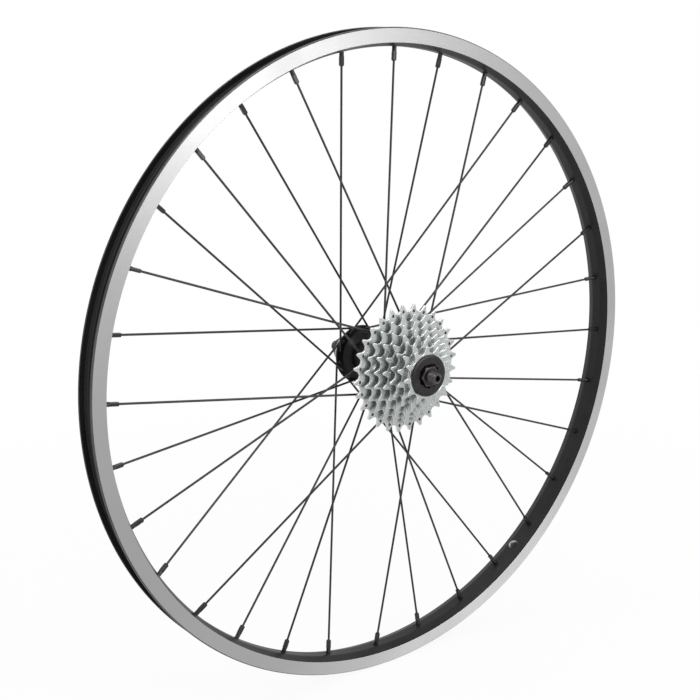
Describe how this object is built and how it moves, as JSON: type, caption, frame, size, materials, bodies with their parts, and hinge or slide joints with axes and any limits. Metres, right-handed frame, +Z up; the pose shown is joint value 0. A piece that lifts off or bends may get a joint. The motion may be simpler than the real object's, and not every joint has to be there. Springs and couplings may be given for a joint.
{
  "type": "rear bicycle wheel",
  "caption": "Spoked rear bicycle wheel with a machined rim, a free-wheeling stack of sprockets and a splined brake rotor boss on a hollow axle.",
  "frame": {"origin": "centre of the wheel, on the axle's axis and in the rim's centre plane", "axes": "+Y along the axle towards the rotor boss, away from the sprockets; +Z up; +X forward, the way the wheel rolls"},
  "size_m": [0.5964, 0.153, 0.5964],
  "materials": {
    "rim": "black anodised with bare machined side walls",
    "spoke": "black steel wire",
    "nipple": "black plated",
    "hub": "black anodised with a bare splined boss",
    "bearing": "ground steel",
    "hard_steel": "hardened steel",
    "axle": "black oxide steel",
    "sprocket": "bright plated steel",
    "lockring": "black plated steel"
  },
  "bodies": {
    "axle_set": {"axle": "axle", "end_cap_left": "axle", "end_spacer_drive": "axle", "locknut_left": "axle", "locknut_drive": "axle"},
    "wheel": {"rim": "rim", "spokes_drive_leading": "spoke", "spokes_drive_trailing": "spoke", "spokes_left_leading": "spoke", "spokes_left_trailing": "spoke", "nipples_drive": "nipple", "nipples_left": "nipple", "hub_shell": "hub", "hub_bearing_left": "bearing", "hub_bearing_drive": "bearing", "ratchet_ring": "hard_steel"},
    "freehub": {"freehub_body": "hard_steel", "freehub_bearing_inner": "bearing", "freehub_bearing_outer": "bearing", "sprocket_28": "sprocket", "sprocket_24": "sprocket", "sprocket_21": "sprocket", "sprocket_18": "sprocket", "sprocket_16": "sprocket", "sprocket_14": "sprocket", "sprocket_12": "sprocket", "lockring": "lockring", "pawl_springs": "hard_steel"},
    "pawl_a": {"pawl_a": "hard_steel"},
    "pawl_b": {"pawl_b": "hard_steel"}
  },
  "joints": [
    {"name": "wheel_spin", "type": "hinge", "parent": "axle_set", "child": "wheel", "pos_m": [0, 0, 0], "axis": [0, 1, 0], "continuous": true},
    {"name": "freewheel_spin", "type": "hinge", "parent": "axle_set", "child": "freehub", "pos_m": [0, -0.047, 0], "axis": [0, 1, 0], "continuous": true},
    {"name": "pawl_a_fold", "type": "hinge", "parent": "freehub", "child": "pawl_a", "pos_m": [0.0126, -0.0247, 0], "axis": [0, 1, 0], "range_deg": [0, 9], "stiffness_Nm_per_rad": 0.005, "springref_deg": -5.73},
    {"name": "pawl_b_fold", "type": "hinge", "parent": "freehub", "child": "pawl_b", "pos_m": [-0.0126, -0.0247, 0], "axis": [0, 1, 0], "range_deg": [0, 9], "stiffness_Nm_per_rad": 0.005, "springref_deg": -5.73}
  ]
}
